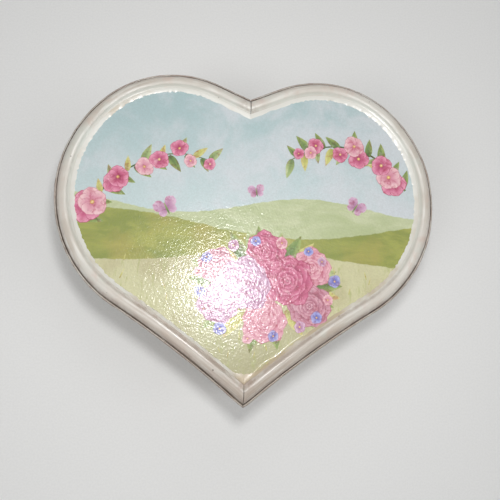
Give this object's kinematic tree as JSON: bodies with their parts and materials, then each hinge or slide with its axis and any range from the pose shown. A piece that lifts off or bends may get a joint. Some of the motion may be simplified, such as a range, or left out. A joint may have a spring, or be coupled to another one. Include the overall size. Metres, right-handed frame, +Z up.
{
  "type": "music box",
  "caption": "Heart-shaped wind-up music box: hinged lid with a mitred moulding around a varnished picture, lined box, pinned-cylinder movement under a clear cover, key below.",
  "frame": {"origin": "on the table under the middle of the heart's outline", "axes": "+X to the heart's right across its width, +Y from the tip to the cleft and hinges, +Z up"},
  "size_m": [0.19, 0.1661, 0.0607],
  "materials": {
    "cream_paint": "cream milk paint, rubbed back at the edges",
    "picture": "printed picture under brushed varnish",
    "board": "plain board",
    "velvet": "short-pile velvet",
    "mirror_glass": "silvered glass with a bevelled edge",
    "brass": "rolled brass, lightly worn",
    "steel": "ground steel",
    "blued_steel": "blued spring steel",
    "casting": "zinc casting, tumbled",
    "plated": "nickel plate",
    "clear_cover": "clear moulded plastic",
    "felt": "pressed felt",
    "cap_rubber": "soft cap"
  },
  "bodies": {
    "box": {"felt_pads": "felt", "box_wall_right": "cream_paint", "box_wall_left": "cream_paint", "floor_panel": "board", "floor_lining": "velvet", "wall_lining_right": "velvet", "wall_lining_left": "velvet", "hinge_box_leaves": "brass", "hinge_pins": "brass", "hinge_box_screws": "brass", "movement_bedplate": "casting", "spring_housing": "plated", "mainspring": "blued_steel", "governor_frame": "brass", "frame_screw": "steel", "music_comb": "steel", "comb_screws": "steel", "fixing_screws": "steel", "lever_pivot": "steel", "movement_cover": "clear_cover"},
    "lid": {"lid_rim_right": "cream_paint", "lid_rim_left": "cream_paint", "lid_moulding_right": "cream_paint", "lid_moulding_left": "cream_paint", "lid_panel": "board", "picture_print": "picture", "lid_lining": "velvet", "lid_mirror": "mirror_glass", "hinge_lid_leaves": "brass", "hinge_lid_screws": "brass"},
    "winding": {"winding_key": "plated", "winding_arbor": "steel", "ratchet_wheel": "steel"},
    "drive_wheel": {"great_wheel": "brass", "ratchet_click": "steel"},
    "cylinder": {"music_cylinder": "brass", "cylinder_arbor": "steel", "cylinder_pinion": "brass", "cylinder_gear": "brass"},
    "governor_wheel": {"governor_arbor": "steel", "worm_wheel": "brass"},
    "governor_fan": {"fan_worm": "steel"},
    "stop": {"stop_lever": "plated", "stop_wire": "steel", "wire_cap": "cap_rubber"}
  },
  "joints": [
    {"name": "lid_hinge", "type": "hinge", "parent": "box", "child": "lid", "pos_m": [0, 0.08135, 0.04615], "axis": [-1, 0, 0], "range_deg": [0, 95]},
    {"name": "key_turn", "type": "hinge", "parent": "box", "child": "winding", "pos_m": [-0.016, 0.012, 0.021], "axis": [0, 0, 1], "continuous": true},
    {"name": "drive_wheel_turn", "type": "hinge", "parent": "box", "child": "drive_wheel", "pos_m": [-0.016, 0.012, 0.0313], "axis": [0, 0, 1], "continuous": true},
    {"name": "cylinder_turn", "type": "hinge", "parent": "box", "child": "cylinder", "pos_m": [0.007, 0.012, 0.0378], "axis": [1, 0, 0], "continuous": true},
    {"name": "governor_wheel_turn", "type": "hinge", "parent": "box", "child": "governor_wheel", "pos_m": [0.021, 0.0176, 0.03281], "axis": [1, 0, 0], "continuous": true},
    {"name": "fan_spin", "type": "hinge", "parent": "box", "child": "governor_fan", "pos_m": [0.0226, 0.0239, 0.031], "axis": [0, 0, 1], "continuous": true},
    {"name": "stop_lever_swing", "type": "hinge", "parent": "box", "child": "stop", "pos_m": [-0.016, 0.0294, 0.026], "axis": [0, -1, 0], "range_deg": [0, 8]}
  ],
  "couplings": [
    {"joint": "cylinder_turn", "follows": "drive_wheel_turn", "ratio": 2.25},
    {"joint": "governor_wheel_turn", "follows": "drive_wheel_turn", "ratio": -9},
    {"joint": "fan_spin", "follows": "drive_wheel_turn", "ratio": 72},
    {"joint": "stop_lever_swing", "follows": "lid_hinge", "ratio": 0.084}
  ]
}
